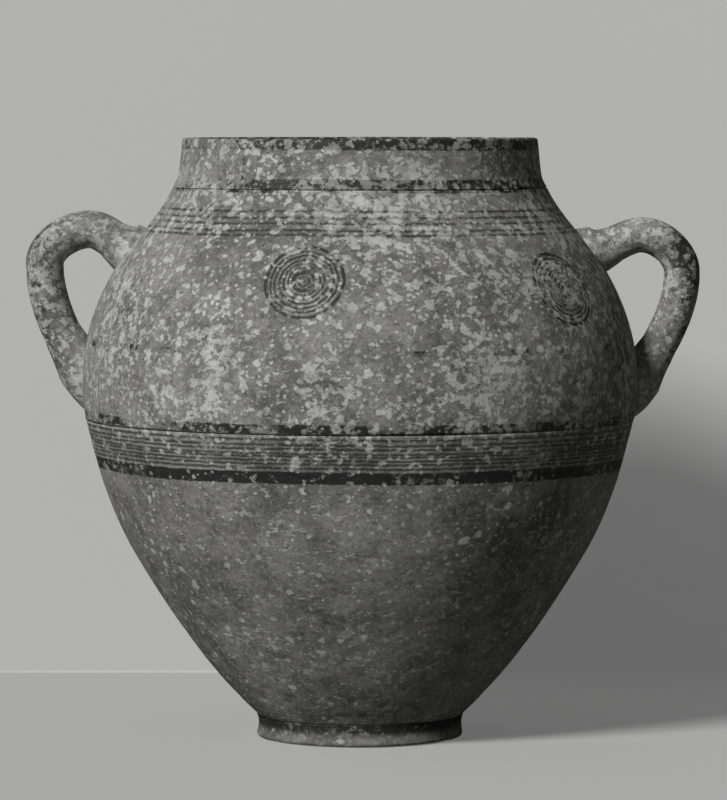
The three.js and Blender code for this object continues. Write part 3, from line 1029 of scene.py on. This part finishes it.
def body_paint(tree, place, height):
    """Bands, lines and circles of the bowl and the shoulder, each with its own wear."""
    band = named_group("painted_band", band_group)
    circles = named_group("painted_circles", circle_group, band)
    lost = noise_node(tree, stretched(tree, place, (1, 1, 1), (0.6, 0.2, 0.2)), *LOST_PAINT_NOISE)
    fragments = smooth_step(tree, lost, *FAINT_PAINT_EDGE)
    mask = math_node(tree, "MULTIPLY", band_mask(tree, height, (FAINT_BAND,), ()), fragments)
    worn = smooth_step(tree, lost, *WORN_PAINT_EDGE)
    faded = math_node(tree, "MULTIPLY", band_mask(tree, height, (TOP_BELLY_BAND, NECK_BAND), ()), worn)
    mask = math_node(tree, "MAXIMUM", mask, faded)
    lines = band_mask(tree, height, (), (*SHOULDER_LINES, *BELLY_LINES))
    mask = math_node(tree, "MAXIMUM", mask, math_node(tree, "MULTIPLY", lines, LINE_STRENGTH))
    mask = band_mask(tree, height, (LOW_BELLY_BAND,), (), mask)
    for angle, rise in CIRCLE_CENTRES:
        node = tree.nodes.new("ShaderNodeGroup")
        node.node_tree = circles
        tree.links.new(place, node.inputs["Position"])
        r, turn = wall_radius(rise) * MM, math.radians(angle)
        node.inputs["Centre"].default_value = (r * math.sin(turn), -r * math.cos(turn), rise * MM)
        mask = math_node(tree, "MAXIMUM", node.outputs["Mask"], mask)
    return outside_only(tree, place, height, mask)


def collar_paint(tree, place, height):
    return band_mask(tree, height, (RIM_BAND, NECK_BAND), ())


def handle_paint(tree, place, height):
    """Worn paint on the outer face of a handle."""
    split = tree.nodes.new("ShaderNodeSeparateXYZ")
    tree.links.new(place, split.inputs[0])
    away = math_node(tree, "ABSOLUTE", split.outputs["X"])
    return smooth_step(tree, away, *HANDLE_PAINT)


def foot_paint(tree, place, height):
    return smooth_step(tree, height, *FOOT_PAINT)


# Operators


class JAR_OT_foot(bpy.types.Operator):
    """Turn the foot ring"""
    bl_idname = "jar.foot"
    bl_label = "Foot ring"

    def execute(self, context):
        vertices, faces = turned(foot_profile())
        material = clay_material("worn_foot_clay", foot_paint, crust_amount=0.0, wear=0.5, clay_share=0.8)
        add_mesh("foot_ring_clay", vertices, faces, material, "foot_ring")
        return {"FINISHED"}


class JAR_OT_body(bpy.types.Operator):
    """Turn the lower bowl and the shoulder section"""
    bl_idname = "jar.body"
    bl_label = "Bowl and shoulder"

    def execute(self, context):
        material = clay_material("painted_body_clay", body_paint, crust_amount=0.5, wear=0.5)
        vertices, faces = turned_disc(bowl_profile())
        add_mesh("lower_bowl_clay", vertices, faces, material, "lower_bowl")
        vertices, faces = turned(shoulder_profile())
        add_mesh("shoulder_clay", vertices, faces, material, "shoulder_section")
        return {"FINISHED"}


class JAR_OT_collar(bpy.types.Operator):
    """Turn the collar and set the broken piece back in it"""
    bl_idname = "jar.collar"
    bl_label = "Collar and sherd"

    def execute(self, context):
        profile = collar_profile()
        collar = clay_material("painted_collar_clay", collar_paint, crust_amount=0.5, wear=0.5)
        vertices, faces = collar_arc(profile, is_sherd=False)
        add_mesh("collar_clay", vertices, faces, collar, "collar")
        sherd = clay_material(
            "pale_sherd_clay", collar_paint, crust_amount=0.5, wear=0.58, clay_share=1.25)
        vertices, faces = collar_arc(profile, is_sherd=True)
        add_mesh("sherd_clay", chipped(vertices), faces, sherd, "rejoined_rim_sherd")
        return {"FINISHED"}


class JAR_OT_handles(bpy.types.Operator):
    """Roll the two handles and work a wad round each root"""
    bl_idname = "jar.handles"
    bl_label = "Handles"

    def execute(self, context):
        material = clay_material(
            "handle_clay", handle_paint, crust_amount=0.55, wear=0.56, clay_share=1.15)
        for side_name, side, (loop, half) in (("left", -1, LEFT_LOOP), ("right", 1, RIGHT_LOOP)):
            vertices, faces = coil_mesh(loop, half, side)
            node = f"{side_name}_handle"
            add_mesh(f"{node}_coil", vertices, faces, material, node)
            for end in ("upper", "lower"):
                vertices, faces = wad_mesh(loop, half, side, end == "upper")
                add_mesh(f"{node}_{end}_smoothed", vertices, faces, material, f"{node}_{end}_wad")
        return {"FINISHED"}


class JAR_OT_stage(bpy.types.Operator):
    """Set the floor, backdrop, lights and camera"""
    bl_idname = "jar.stage"
    bl_label = "Stage"

    def execute(self, context):
        settings = stage_settings()
        make_backdrop(settings)
        make_lights(settings)
        make_camera()
        return {"FINISHED"}


def make_backdrop(settings):
    """One sheet: floor, a tight cove, and a wall that is only seen from the front."""
    wall, cove = settings.backdrop_distance, COVE_RADIUS
    profile = [(-SHEET_REACH, 0.0), (wall - cove, 0.0)]
    for i in range(1, COVE_STEPS + 1):
        turn = math.pi / 2 * i / COVE_STEPS
        profile.append((wall - cove + cove * math.sin(turn), cove - cove * math.cos(turn)))
    profile.append((wall, SHEET_HEIGHT))
    vertices = [(x, y, z) for y, z in profile for x in (-SHEET_REACH, SHEET_REACH)]
    faces = [(2 * i, 2 * i + 1, 2 * i + 3, 2 * i + 2) for i in range(len(profile) - 1)]
    mesh = bpy.data.meshes.new("backdrop")
    mesh.from_pydata(vertices, [], faces)
    mesh.materials.append(backdrop_material(settings))
    sheet = bpy.data.objects.new("backdrop", mesh)
    bpy.context.scene.collection.objects.link(sheet)


def backdrop_material(settings):
    """Matt pale paper. Its back is clear, so that the jar can be seen from behind it."""
    material = bpy.data.materials.new("pale_paper")
    material.use_nodes = True
    tree = material.node_tree
    shader = tree.nodes["Principled BSDF"]
    seen = tree.nodes.new("ShaderNodeLightPath")
    pale = (*settings.pale, 1)
    dim = tuple(c * BOUNCE_SHARE for c in settings.pale) + (1,)
    tree.links.new(mix_colour(tree, seen.outputs["Is Camera Ray"], dim, pale), shader.inputs["Base Color"])
    shader.inputs["Roughness"].default_value = 1.0
    shader.inputs["Specular IOR Level"].default_value = 0.0
    shader.inputs["Emission Color"].default_value = (1, 1, 1, 1)
    glow = math_node(tree, "MULTIPLY", seen.outputs["Is Camera Ray"], BACKDROP_GLOW)
    tree.links.new(glow, shader.inputs["Emission Strength"])
    clear = tree.nodes.new("ShaderNodeBsdfTransparent")
    mix = tree.nodes.new("ShaderNodeMixShader")
    facing = tree.nodes.new("ShaderNodeNewGeometry")
    tree.links.new(facing.outputs["Backfacing"], mix.inputs["Fac"])
    tree.links.new(shader.outputs[0], mix.inputs[1])
    tree.links.new(clear.outputs[0], mix.inputs[2])
    tree.links.new(mix.outputs[0], tree.nodes["Material Output"].inputs["Surface"])
    return material


def make_lights(settings):
    key = bpy.data.lights.new("key", "SUN")
    key.energy = settings.key_strength
    key.angle = math.radians(KEY_WIDTH)
    lamp = bpy.data.objects.new("key", key)
    turn, rise = math.radians(KEY_TURN), math.radians(KEY_RISE)
    toward = Vector((math.sin(turn) * math.cos(rise), -math.cos(turn) * math.cos(rise), math.sin(rise)))
    lamp.rotation_euler = toward.to_track_quat("Z", "Y").to_euler()
    bpy.context.scene.collection.objects.link(lamp)
    world = bpy.data.worlds.new("room")
    world.use_nodes = True
    world.node_tree.nodes["Background"].inputs["Color"].default_value = (1, 1, 1, 1)
    world.node_tree.nodes["Background"].inputs["Strength"].default_value = settings.fill_strength
    bpy.context.scene.world = world


def make_camera():
    camera = bpy.data.cameras.new("camera")
    camera.sensor_width = CAMERA_SENSOR
    camera.lens = CAMERA_LENS
    holder = bpy.data.objects.new("camera", camera)
    holder.location = (CAMERA_ASIDE, -CAMERA_DISTANCE, CAMERA_HEIGHT)
    holder.rotation_euler = (math.radians(90 + CAMERA_PITCH), 0, 0)
    bpy.context.scene.collection.objects.link(holder)
    bpy.context.scene.camera = holder


class JAR_PT_panel(bpy.types.Panel):
    """The jar's settings and pieces"""
    bl_idname = "JAR_PT_panel"
    bl_label = "Pottery jar"
    bl_space_type = "VIEW_3D"
    bl_region_type = "UI"
    bl_category = "Jar"

    def draw(self, context):
        for settings in (context.scene.jar_surface, context.scene.jar_stage):
            for name in settings.__annotations__:
                self.layout.prop(settings, name)
        for operator in OPERATORS:
            self.layout.operator(operator.bl_idname)


OPERATORS = (JAR_OT_foot, JAR_OT_body, JAR_OT_collar, JAR_OT_handles, JAR_OT_stage)
CLASSES = (JarSurfaceSettings, JarStageSettings, *OPERATORS, JAR_PT_panel)


def register():
    for item in CLASSES:
        bpy.utils.register_class(item)
    bpy.types.Scene.jar_surface = bpy.props.PointerProperty(type=JarSurfaceSettings)
    bpy.types.Scene.jar_stage = bpy.props.PointerProperty(type=JarStageSettings)


def unregister():
    del bpy.types.Scene.jar_stage
    del bpy.types.Scene.jar_surface
    for item in reversed(CLASSES):
        bpy.utils.unregister_class(item)


def main():
    register()
    bpy.context.scene.view_settings.view_transform = "Standard"
    bpy.ops.jar.foot()
    bpy.ops.jar.body()
    bpy.ops.jar.collar()
    bpy.ops.jar.handles()
    bpy.ops.jar.stage()
    bpy.context.view_layer.update()


if __name__ == "__main__":
    main()
